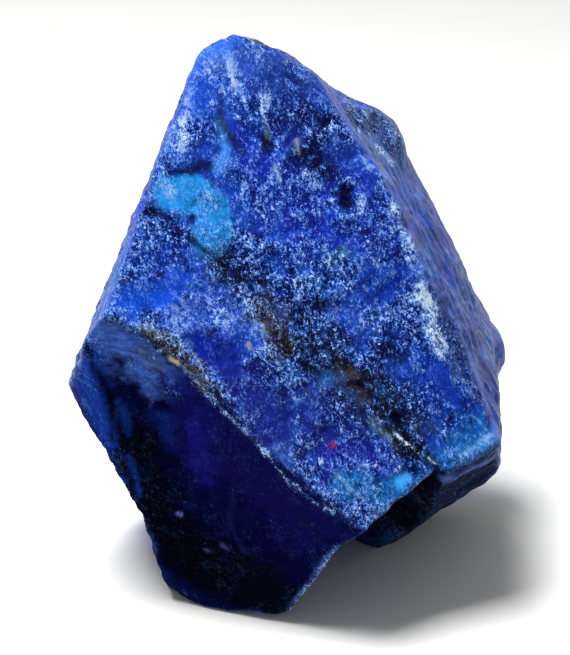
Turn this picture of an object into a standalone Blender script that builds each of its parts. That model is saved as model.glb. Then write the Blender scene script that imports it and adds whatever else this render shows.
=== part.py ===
"""A rough sapphire: one broken lump of opaque blue stone that stands on a small flat spot, apex up.

Millimetre values are design sizes. Each flat fracture face is set by where it faces and how far it is from the heart
of the stone: bearing 0 is the front (-Y) and 90 the right (+X), pitch is upward, and reach is in millimetres.
"""

from math import cos, radians, sin

import bmesh
import bpy
from mathutils import Vector

MM = 0.001

STONE_NAME = "rough_sapphire"
HEART = Vector((0.15, -5.09, 45.0))
BLANK_SIDE = 240.0

# Bearing, pitch and reach of the flat faces all round the stone
ROUND_FACES = {
    "broad front face": (16.0, 31.5, 19.0),
    "shaded lower front face": (-19.0, -8.0, 27.8),
    "right flank": (80.0, 30.0, 32.9),
    "right flank near the apex": (77.5, 38.5, 35.0),
    "right shoulder": (115.0, 55.0, 50.7),
    "right side of the apex": (131.5, 64.5, 58.3),
    "left side of the apex": (-109.0, 47.5, 59.0),
    "apex": (-176.0, 73.0, 65.3),
    "left flank": (-95.0, 21.5, 40.1),
    "left strip beside the front face": (-78.5, 28.5, 43.8),
    "chip at the left corner": (-53.0, -12.0, 38.6),
    "lower left side": (-71.5, -19.5, 41.5),
    "lower left corner": (-53.0, -41.0, 48.9),
    "lip before the resting face": (22.5, -77.5, 46.5),
    "resting face": (180.0, -90.0, 45.0),
    "rear of the right flank": (94.0, 27.0, 37.3),
    "right corner": (86.0, 3.5, 39.9),
    "right flank above the corner": (86.0, 10.0, 39.1),
    "back": (172.5, 5.0, 36.1),
    "left of the back": (-127.0, 3.0, 37.5),
    "right of the back": (141.5, -3.0, 46.3),
    "back below the apex": (176.0, 43.5, 57.2),
    "back left shoulder": (-134.0, 30.0, 49.0),
    "underside at the back": (172.0, -45.0, 49.8),
    "underside at the back left": (-121.0, -39.0, 48.2),
}

# The lower right is broken away beyond both of these faces, except for a ledge that stands out there
BREAK_FACES = {
    "upper break": (70.0, -47.5, 29.8),
    "lower break": (81.5, -29.0, 22.6),
}
LEDGE_FACES = {
    "front of the ledge": (37.5, -29.5, 36.2),
    "underside of the ledge": (54.0, -44.0, 39.6),
    "wall of the notch": (-47.0, -17.5, -1.5),
}

# Shell-shaped hollows, each fitted by a ball: bearing, pitch and distance of its centre from the heart, and its radius
HOLLOWS = {
    "hollow under the front rim": (-30.5, 2.5, 72.2, 45.0),
    "chipped right ridge": (59.5, 28.5, 88.7, 60.0),
    "hollow in the lower left side": (-80.0, -30.0, 84.0, 45.0),
    "hollow in the back": (165.0, -1.0, 89.0, 55.0),
    "hollow in the left of the back": (-128.0, 9.0, 75.0, 40.0),
}
BALL_SEGMENTS = 96

EDGE_ROUNDING = 0.5
EDGE_STEPS = 2
EDGE_ANGLE = 25.0

STONE_BLUE = (0.010, 0.024, 0.420, 1.0)
STONE_ROUGHNESS = 0.32


def facing(bearing, pitch):
    """Unit vector that points out of a face with this bearing and pitch."""
    level = cos(radians(pitch))
    return Vector((sin(radians(bearing)) * level, -cos(radians(bearing)) * level, sin(radians(pitch))))


def clear_scene():
    """Remove every object of the scene."""
    for item in list(bpy.data.objects):
        bpy.data.objects.remove(item, do_unlink=True)


def new_collection(name):
    """Add a collection to the scene."""
    collection = bpy.data.collections.new(name)
    bpy.context.scene.collection.children.link(collection)
    return collection


def new_object(name, mesh_builder, collection):
    """Turn a bmesh into a named object of the collection."""
    mesh = bpy.data.meshes.new(name)
    mesh_builder.to_mesh(mesh)
    mesh_builder.free()
    item = bpy.data.objects.new(name, mesh)
    collection.objects.link(item)
    return item


def broken_block(name, faces, collection, keep_outside=False):
    """A large cube split along each face in turn; the side with the heart stays unless keep_outside is set."""
    block = bmesh.new()
    bmesh.ops.create_cube(block, size=BLANK_SIDE * MM)
    bmesh.ops.translate(block, verts=block.verts, vec=HEART * MM)
    for bearing, pitch, reach in faces:
        outward = facing(bearing, pitch)
        cut = bmesh.ops.bisect_plane(
            block,
            geom=block.verts[:] + block.edges[:] + block.faces[:],
            dist=0.00001 * MM,
            plane_co=(HEART + outward * reach) * MM,
            plane_no=-outward if keep_outside else outward,
            clear_outer=True,
        )
        rim = [edge for edge in cut["geom_cut"] if isinstance(edge, bmesh.types.BMEdge)]
        bmesh.ops.contextual_create(block, geom=rim)
    bmesh.ops.recalc_face_normals(block, faces=block.faces)
    return new_object(name, block, collection)


def ball(name, bearing, pitch, distance, radius, collection):
    """A ball that leaves a shell-shaped hollow where it cuts."""
    shape = bmesh.new()
    bmesh.ops.create_uvsphere(shape, u_segments=BALL_SEGMENTS, v_segments=BALL_SEGMENTS // 2, radius=radius * MM)
    centre = HEART + facing(bearing, pitch) * distance
    bmesh.ops.translate(shape, verts=shape.verts, vec=centre * MM)
    return new_object(name, shape, collection)


def cut_away(item, cutter):
    """Cut the cutter out of the item with a Boolean."""
    cutter.hide_render = True
    cutter.display_type = "WIRE"
    cut = item.modifiers.new(f"Cut {cutter.name}", "BOOLEAN")
    cut.operation = "DIFFERENCE"
    cut.solver = "EXACT"
    cut.object = cutter


def stone_material():
    """Broken, oiled-looking opaque blue stone."""
    material = bpy.data.materials.new("Broken blue sapphire")
    material.use_nodes = True
    shader = material.node_tree.nodes["Principled BSDF"]
    shader.inputs["Base Color"].default_value = STONE_BLUE
    shader.inputs["Roughness"].default_value = STONE_ROUGHNESS
    shader.inputs["Metallic"].default_value = 0.0
    return material


def main():
    """Build the stone from a block, its broken corner and its hollows."""
    clear_scene()
    stone_collection = new_collection("Rough sapphire")
    cutter_collection = new_collection("Cutters")

    stone = broken_block(STONE_NAME, ROUND_FACES.values(), stone_collection)
    waste = broken_block("lower_right_waste", BREAK_FACES.values(), cutter_collection, keep_outside=True)
    ledge = broken_block("ledge_to_keep", LEDGE_FACES.values(), cutter_collection)
    cut_away(waste, ledge)
    cut_away(stone, waste)
    for name, placing in HOLLOWS.items():
        cut_away(stone, ball(name, *placing, cutter_collection))

    rounding = stone.modifiers.new("Rounded edges", "BEVEL")
    rounding.width = EDGE_ROUNDING * MM
    rounding.segments = EDGE_STEPS
    rounding.limit_method = "ANGLE"
    rounding.angle_limit = radians(EDGE_ANGLE)
    stone.data.materials.append(stone_material())


main()
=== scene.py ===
"""Looks of a rough sapphire: one broken lump of opaque blue stone, its floor, its light and its camera.

Lengths are millimetres in the frame of the CAD model unless a name says otherwise. A face is set by its
bearing (0 is the front, -Y, and 90 the right, +X), its pitch upward and its reach from the stone's heart.
"""

import logging
from dataclasses import dataclass
from enum import Enum
from math import pi, radians

import bpy
import numpy as np
from mathutils import Matrix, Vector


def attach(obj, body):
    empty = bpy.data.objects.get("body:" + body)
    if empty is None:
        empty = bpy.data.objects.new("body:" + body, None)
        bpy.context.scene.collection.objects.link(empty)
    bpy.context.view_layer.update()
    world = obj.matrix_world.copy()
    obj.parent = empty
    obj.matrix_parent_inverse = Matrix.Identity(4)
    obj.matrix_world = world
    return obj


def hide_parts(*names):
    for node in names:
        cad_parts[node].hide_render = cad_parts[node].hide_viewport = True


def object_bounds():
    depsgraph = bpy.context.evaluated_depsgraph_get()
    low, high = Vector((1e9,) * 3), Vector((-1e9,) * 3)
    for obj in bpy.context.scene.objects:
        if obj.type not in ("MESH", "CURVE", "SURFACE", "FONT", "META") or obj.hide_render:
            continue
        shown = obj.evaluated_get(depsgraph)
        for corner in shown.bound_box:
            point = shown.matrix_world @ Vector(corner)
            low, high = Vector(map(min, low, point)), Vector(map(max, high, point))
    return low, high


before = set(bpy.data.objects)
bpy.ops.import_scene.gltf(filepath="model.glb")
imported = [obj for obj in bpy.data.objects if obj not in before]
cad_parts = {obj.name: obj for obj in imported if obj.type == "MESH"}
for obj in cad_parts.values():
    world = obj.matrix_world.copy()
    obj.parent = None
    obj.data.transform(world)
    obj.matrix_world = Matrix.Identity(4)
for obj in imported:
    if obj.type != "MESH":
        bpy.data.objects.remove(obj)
CAD_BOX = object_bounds()

LOG = logging.getLogger("rough_sapphire")
MM = 0.001

# Large odd numbers and shifts that stir the place of a cell and its seed into 32 bits that look random
CELL_STRIDES = (374761393, 668265263, 1440662683)
SEED_STRIDE = 974711
STIR = 1274126177
WORD = 0xFFFFFFFF
HALF_WORD = 0xFFFF
FIRST_SHIFT = 13
LAST_SHIFT = 16

# Step from the seed of a set of swells to that of the next finer one
SEED_STEP = 7

# Brings single swells to heights of about -1 to 1
SWELL_GAIN = 1.6

# A direction meets a face when the cosine between them is over this. Other faces count as this far away
LEAST_LEAN = 1e-4
ENDLESS = 1e4

# Share that every zone has everywhere, so that the shares can always be added up to 1
LEAST_SHARE = 1e-6

# Keeps a length of nothing from being divided by
TINY = 1e-12


def linear(colour: str) -> tuple[float, float, float, float]:
    """Turn an sRGB hex colour into linear light.

    Args:
        colour: Six hex digits after a hash.

    Returns:
        Red, green, blue and an alpha of 1.
    """
    shares = np.array([int(colour[start : start + 2], 16) for start in (1, 3, 5)]) / 255.0
    light = np.where(shares <= 0.04045, shares / 12.92, ((shares + 0.055) / 1.055) ** 2.4)
    return (float(light[0]), float(light[1]), float(light[2]), 1.0)


def facing(bearing: np.ndarray, pitch: np.ndarray) -> np.ndarray:
    """Unit vectors (sin b cos p, -cos b cos p, sin p) that point out of faces.

    Args:
        bearing: Degrees from the front, one for each face.
        pitch: Degrees upward, one for each face.

    Returns:
        One row of three for each face.
    """
    b, p = np.radians(bearing), np.radians(pitch)
    return np.stack([np.sin(b) * np.cos(p), -np.cos(b) * np.cos(p), np.sin(p)], axis=-1)


def unit(vectors: np.ndarray) -> np.ndarray:
    """Scale each row to a length of one."""
    return vectors / np.maximum(np.linalg.norm(vectors, axis=-1, keepdims=True), TINY)


def ease(values: np.ndarray, low: float, high: float) -> np.ndarray:
    """Rise from 0 at low to 1 at high along the curve t * t * (3 - 2 t)."""
    t = np.clip((values - low) / (high - low), 0.0, 1.0)
    return t * t * (3.0 - 2.0 * t)


def scrambled(cells: np.ndarray, seed: int) -> np.ndarray:
    """Give each whole-number cell its own number from 0 to 1, always the same for one seed.

    Args:
        cells: Whole numbers, three on the last axis.
        seed: Which set of numbers.

    Returns:
        One number for each cell.
    """
    mixed = sum(cells[..., axis] * stride for axis, stride in enumerate(CELL_STRIDES)) + seed * SEED_STRIDE
    mixed = mixed & WORD
    mixed = ((mixed ^ (mixed >> FIRST_SHIFT)) * STIR) & WORD
    return ((mixed ^ (mixed >> LAST_SHIFT)) & HALF_WORD) / HALF_WORD


def swells(points: np.ndarray, size: float, seed: int) -> np.ndarray:
    """Smooth random heights: a random slope at each corner of cubes of this size, blended by a fifth-power
    curve.

    Args:
        points: Rows of x, y and z.
        size: Width of a cube, so about half the spacing of the swells.
        seed: Which set of slopes.

    Returns:
        One height for each point, about -1 to 1.
    """
    scaled = points / size
    low = np.floor(scaled).astype(np.int64)
    inside = scaled - low
    blend = inside**3 * (inside * (inside * 6.0 - 15.0) + 10.0)
    total = np.zeros(len(points))
    for corner in np.ndindex(2, 2, 2):
        offset = np.array(corner)
        slope = np.stack([scrambled(low + offset, seed + axis) for axis in range(3)], axis=-1) * 2.0 - 1.0
        weight = np.prod(np.where(offset == 1, blend, 1.0 - blend), axis=-1)
        total += weight * ((inside - offset) * slope).sum(axis=-1)
    return total * SWELL_GAIN


def scallops(points: np.ndarray, size: float, seed: int) -> np.ndarray:
    """Squared distance to the nearest of one random point in each cube: hollow cells with ridges between
    them.

    Args:
        points: Rows of x, y and z.
        size: Width of a cube.
        seed: Which set of points.

    Returns:
        0 in the middle of a hollow, about 1 on the sharpest ridges.
    """
    scaled = points / size
    low = np.floor(scaled).astype(np.int64)
    nearest = np.full(len(points), np.inf)
    for step in np.ndindex(3, 3, 3):
        cell = low + np.array(step) - 1
        spot = cell + np.stack([scrambled(cell, seed + axis) for axis in range(3)], axis=-1)
        nearest = np.minimum(nearest, ((scaled - spot) ** 2).sum(axis=-1))
    return nearest


def soft_max(values: np.ndarray, rounding: np.ndarray) -> np.ndarray:
    """Largest value along the last axis, made smooth: k times the log of the sum of exp(value / k).

    Args:
        values: Any array.
        rounding: The k of each row, which is the rounding of the edge where two values meet.

    Returns:
        An array without the last axis.
    """
    top = values.max(axis=-1)
    return top + rounding * np.log(np.exp((values - top[..., None]) / rounding[..., None]).sum(axis=-1))


def summed(index: np.ndarray, rows: np.ndarray, count: int) -> np.ndarray:
    """Sum of the rows of three that go to each of count indices."""
    return np.stack([np.bincount(index, rows[:, axis], minlength=count) for axis in range(3)], axis=1)


def normals_of(points: np.ndarray, quads: np.ndarray) -> np.ndarray:
    """Outward unit normal at each point: the sum of the cross products of its quads' diagonals.

    Args:
        points: Rows of x, y and z.
        quads: Indices of the quads.

    Returns:
        Unit rows.
    """
    c = points[quads]
    across = np.cross(c[:, 2] - c[:, 0], c[:, 3] - c[:, 1])
    return unit(summed(quads.ravel(), np.repeat(across, quads.shape[1], axis=0), len(points)))


def to_path(points: np.ndarray, path: np.ndarray) -> np.ndarray:
    """Distance of each point to the nearest place on a line through the path's points.

    Args:
        points: Rows of x, y and z.
        path: One or more rows of x, y and z.

    Returns:
        One distance for each point.
    """
    if len(path) == 1:
        return np.linalg.norm(points - path[0], axis=1)
    nearest = np.full(len(points), np.inf)
    for start, end in zip(path[:-1], path[1:]):
        along = end - start
        share = np.clip((points - start) @ along / max(along @ along, TINY), 0.0, 1.0)
        nearest = np.minimum(nearest, np.linalg.norm(points - start - share[:, None] * along, axis=1))
    return nearest


@dataclass(frozen=True)
class Waves:
    """A sum of so many swells, each half as wide and keep times as high as the one before."""

    size: float
    seed: int
    count: int = 1
    keep: float = 0.5
    height: float = 1.0

    def at(self, points: np.ndarray) -> np.ndarray:
        """Height times the sum of keep to the power i times the swells of size / 2 to the power i, divided
        by the sum of those powers of keep.

        Args:
            points: Rows of x, y and z.

        Returns:
            One number for each point, at most about the height up or down.
        """
        heights = self.keep ** np.arange(self.count)
        parts = (swells(points, self.size / 2**i, self.seed + SEED_STEP * i) for i in range(self.count))
        return self.height * (sum(height * part for height, part in zip(heights, parts)) / heights.sum())


@dataclass(frozen=True)
class Spread:
    """Patches that rise from nothing to their most where a set of waves climbs from start to end."""

    waves: Waves
    start: float
    end: float
    most: float = 1.0

    def at(self, points: np.ndarray) -> np.ndarray:
        """How much of the patches is at each point."""
        return self.most * ease(self.waves.at(points), self.start, self.end)


# Waves of the relief
SWELL = Waves(15.0, 11, 3)
SCALLOP_BEND = Waves(9.0, 16, 2, height=2.0)
ROUGH = Waves(5.0, 91, 3)
CRESTS = Waves(3.2, 101, height=0.5)
GRAIN = Waves(1.6, 131, 2)
FIBRE = Waves(2.4, 171, 3, 0.6)
EDGE_WEAR = Waves(4.0, 211, height=0.5)

# Waves of the looks
RAGGED_EDGES = Waves(4.0, 311, 3)
FINE_RAGGED_EDGES = Waves(1.4, 331, 2, height=0.6)
SHADES = Waves(22.0, 351, 3, height=0.25)
FROST_STREAKS = Spread(Waves(2.0, 371, 3), 0.2, 0.5, 0.7)
SOOT_BITS = Spread(Waves(3.4, 391, 3), 0.15, 0.5, 0.5)
FIBRE_BEND = Waves(9.0, 411, 3, height=1.6)
CALM_FIELDS = Spread(Waves(8.0, 431, 3), -0.08, 0.2, 0.7)
WANDER = Waves(7.0, 611, 3, height=2.5)


@dataclass(frozen=True)
class Relief:
    """How high each kind of unevenness stands on a broken face, in millimetres."""

    swell: float
    scallop: float
    rough: float
    grain: float
    fibre: float


class Fracture(Enum):
    """How a face of the stone broke."""

    SUGARY = Relief(swell=0.9, scallop=0.8, rough=0.75, grain=0.28, fibre=0.0)
    SHELL = Relief(swell=0.9, scallop=0.25, rough=0.15, grain=0.05, fibre=0.22)
    FIBROUS = Relief(swell=0.8, scallop=0.7, rough=0.4, grain=0.1, fibre=0.7)
    HACKLY = Relief(swell=1.2, scallop=1.6, rough=0.6, grain=0.2, fibre=0.15)
    WORN = Relief(swell=0.0, scallop=0.0, rough=0.05, grain=0.03, fibre=0.0)


class Zone(Enum):
    """Part of the surface that has its own ground colour and texture."""

    FRONT = 0
    SHADE = 1
    FLANK = 2
    RIDGE = 3
    STRIP = 4
    CHIP = 5
    LOWER_LEFT = 6
    LEDGE = 7
    NOTCH = 8
    BACK = 9
    FOOT = 10
    LEFT = 11


@dataclass(frozen=True)
class Face:
    """One flat fracture face."""

    name: str
    bearing: float
    pitch: float
    reach: float
    fracture: Fracture
    zone: Zone

    def outward(self) -> np.ndarray:
        """Unit vector that points out of the face."""
        return facing(np.array(self.bearing), np.array(self.pitch))


@dataclass(frozen=True)
class Hollow:
    """A shell-shaped hollow, fitted by a ball."""

    name: str
    bearing: float
    pitch: float
    distance: float
    radius: float
    zone: Zone


@dataclass(frozen=True)
class Knob:
    """A lump that stands out of the faces round it."""

    name: str
    centre: tuple[float, float, float]
    radius: float


# The flat faces all round the stone
ROUND_FACES = (
    Face("broad front face", 16.0, 31.5, 19.0, Fracture.SUGARY, Zone.FRONT),
    Face("shaded lower front face", -19.0, -8.0, 27.8, Fracture.SHELL, Zone.SHADE),
    Face("right flank", 80.0, 30.0, 32.9, Fracture.FIBROUS, Zone.FLANK),
    Face("right flank near the apex", 77.5, 38.5, 35.0, Fracture.FIBROUS, Zone.FLANK),
    Face("right shoulder", 115.0, 55.0, 50.7, Fracture.HACKLY, Zone.BACK),
    Face("right side of the apex", 131.5, 64.5, 58.3, Fracture.HACKLY, Zone.BACK),
    Face("left side of the apex", -109.0, 47.5, 59.0, Fracture.SUGARY, Zone.BACK),
    Face("apex", -176.0, 73.0, 65.3, Fracture.SUGARY, Zone.BACK),
    Face("left flank", -95.0, 21.5, 40.1, Fracture.FIBROUS, Zone.LEFT),
    Face("left strip beside the front face", -78.5, 28.5, 43.8, Fracture.FIBROUS, Zone.STRIP),
    Face("chip at the left corner", -53.0, -12.0, 38.6, Fracture.FIBROUS, Zone.CHIP),
    Face("lower left side", -71.5, -19.5, 41.5, Fracture.SHELL, Zone.LOWER_LEFT),
    Face("lower left corner", -53.0, -41.0, 48.9, Fracture.SHELL, Zone.LOWER_LEFT),
    Face("lip before the resting face", 22.5, -77.5, 46.5, Fracture.WORN, Zone.FOOT),
    Face("resting face", 180.0, -90.0, 45.0, Fracture.WORN, Zone.FOOT),
    Face("rear of the right flank", 94.0, 27.0, 37.3, Fracture.FIBROUS, Zone.FLANK),
    Face("right corner", 86.0, 3.5, 39.9, Fracture.FIBROUS, Zone.FLANK),
    Face("right flank above the corner", 86.0, 10.0, 39.1, Fracture.FIBROUS, Zone.FLANK),
    Face("back", 172.5, 5.0, 36.1, Fracture.HACKLY, Zone.BACK),
    Face("left of the back", -127.0, 3.0, 37.5, Fracture.HACKLY, Zone.BACK),
    Face("right of the back", 141.5, -3.0, 46.3, Fracture.HACKLY, Zone.BACK),
    Face("back below the apex", 176.0, 43.5, 57.2, Fracture.SUGARY, Zone.BACK),
    Face("back left shoulder", -134.0, 30.0, 49.0, Fracture.HACKLY, Zone.BACK),
    Face("underside at the back", 172.0, -45.0, 49.8, Fracture.HACKLY, Zone.BACK),
    Face("underside at the back left", -121.0, -39.0, 48.2, Fracture.HACKLY, Zone.BACK),
)

# The lower right is broken away beyond both of these faces, except for a ledge that stands out there
BREAK_FACES = (
    Face("upper break", 70.0, -47.5, 29.8, Fracture.SHELL, Zone.NOTCH),
    Face("lower break", 81.5, -29.0, 22.6, Fracture.SHELL, Zone.NOTCH),
)
LEDGE_FACES = (
    Face("front of the ledge", 37.5, -29.5, 36.2, Fracture.FIBROUS, Zone.LEDGE),
    Face("underside of the ledge", 54.0, -44.0, 39.6, Fracture.FIBROUS, Zone.LEDGE),
    Face("wall of the notch", -47.0, -17.5, -1.5, Fracture.SHELL, Zone.NOTCH),
)
FACES = ROUND_FACES + BREAK_FACES + LEDGE_FACES

HOLLOWS = (
    Hollow("under the front rim", -30.5, 2.5, 72.2, 45.0, Zone.SHADE),
    Hollow("chipped right ridge", 59.5, 28.5, 88.7, 60.0, Zone.RIDGE),
    Hollow("in the lower left side", -80.0, -30.0, 84.0, 45.0, Zone.LOWER_LEFT),
    Hollow("in the back", 165.0, -1.0, 89.0, 55.0, Zone.BACK),
    Hollow("in the left of the back", -128.0, 9.0, 75.0, 40.0, Zone.BACK),
)

KNOBS = (
    Knob("lump on the right flank", (14.5, 20.4, 80.7), 8.0),
    Knob("lump at the right corner", (39.0, 15.4, 38.3), 5.0),
)


def outward_of(faces: tuple[Face, ...]) -> np.ndarray:
    """Unit vectors that point out of faces, one row each."""
    return facing(np.array([face.bearing for face in faces]), np.array([face.pitch for face in faces]))


def face_named(name: str) -> Face:
    """The flat face of this name."""
    return next(face for face in FACES if face.name == name)


class Comb(Enum):
    """Which way fibres run: fanned over one face, or along the meeting of this face with the broad front
    face."""

    FAN = "shaded lower front face"
    FLANK = "right flank"
    STRIP = "left strip beside the front face"
    LEDGE = "front of the ledge"


@dataclass(frozen=True)
class PhotoCamera:
    """The photograph's camera as a pinhole, and the photograph's frame in pixels."""

    elevation: float = 25.0
    distance: float = 400.0
    focal_pixels: float = 2080.0
    frame_width: float = 570.0
    frame_height: float = 655.0
    target: tuple[float, float, float] = (-2.05, -12.09, 57.0)
    sensor: float = 36.0
    nearest: float = 10.0
    farthest: float = 10000.0

    def axes(self) -> np.ndarray:
        """Right, up and forward of the view.

        Returns:
            One row for each.
        """
        tilt = radians(self.elevation)
        forward = np.array([0.0, np.cos(tilt), -np.sin(tilt)])
        right = np.array([1.0, 0.0, 0.0])
        return np.stack([right, np.cross(right, forward), forward])

    def eye(self) -> np.ndarray:
        """Place of the camera in millimetres."""
        return np.array(self.target) - self.distance * self.axes()[2]

    def in_frame(self, points: np.ndarray) -> np.ndarray:
        """Pixels across and down that the points fall on.

        Args:
            points: Rows of x, y and z.

        Returns:
            Rows of across, down and the distance in front of the camera.
        """
        seen = (points - self.eye()) @ self.axes().T
        scale = self.focal_pixels / seen[:, 2]
        across = self.frame_width / 2 + scale * seen[:, 0]
        down = self.frame_height / 2 - scale * seen[:, 1]
        return np.stack([across, down, seen[:, 2]], axis=1)

    def build(self) -> bpy.types.Object:
        """Make the camera and use it for the scene.

        Returns:
            The camera.
        """
        data = bpy.data.cameras.new("photo_camera")
        data.sensor_width = self.sensor
        data.lens = self.focal_pixels * self.sensor / self.frame_height
        data.clip_start = self.nearest * MM
        data.clip_end = self.farthest * MM
        item = bpy.data.objects.new("photo_camera", data)
        right, up, forward = self.axes()
        turn = Matrix((right, up, -forward)).transposed().to_4x4()
        item.matrix_world = Matrix.Translation(self.eye() * MM) @ turn
        bpy.context.scene.collection.objects.link(item)
        bpy.context.scene.camera = item
        return item


@dataclass(frozen=True)
class Mark:
    """A patch, streak, crack or pit on the seen side, along a path of the photograph's pixels (across,
    down).

    Reach is its half width and fade the width of its edge, both in millimetres. It covers the ground of its
    zone, or of every zone if that is None, with its tint. It adds pale crystals, dark matter, comb (satin
    fibres, fewer where it is negative) and chalk (solid white). Its calm makes the ground less sugary, or
    more so where it is negative, and its depth in millimetres is carved in. On some marks the tint, the pale
    crystals and the dark matter are painted light: painted shade in gaps, cracks and low on the shaded face,
    and painted highlights, sheen and reflections on the crown, ridges, the upper shaded face and the ledge
    rim.
    """

    name: str
    path: tuple[tuple[float, float], ...]
    reach: float
    fade: float
    tint: str = ""
    cover: float = 0.0
    zone: Zone | None = Zone.FRONT
    frost_and_highlight: float = 0.0
    soot_and_shade: float = 0.0
    chalk: float = 0.0
    comb: float = 0.0
    calm: float = 0.0
    depth: float = 0.0


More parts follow.
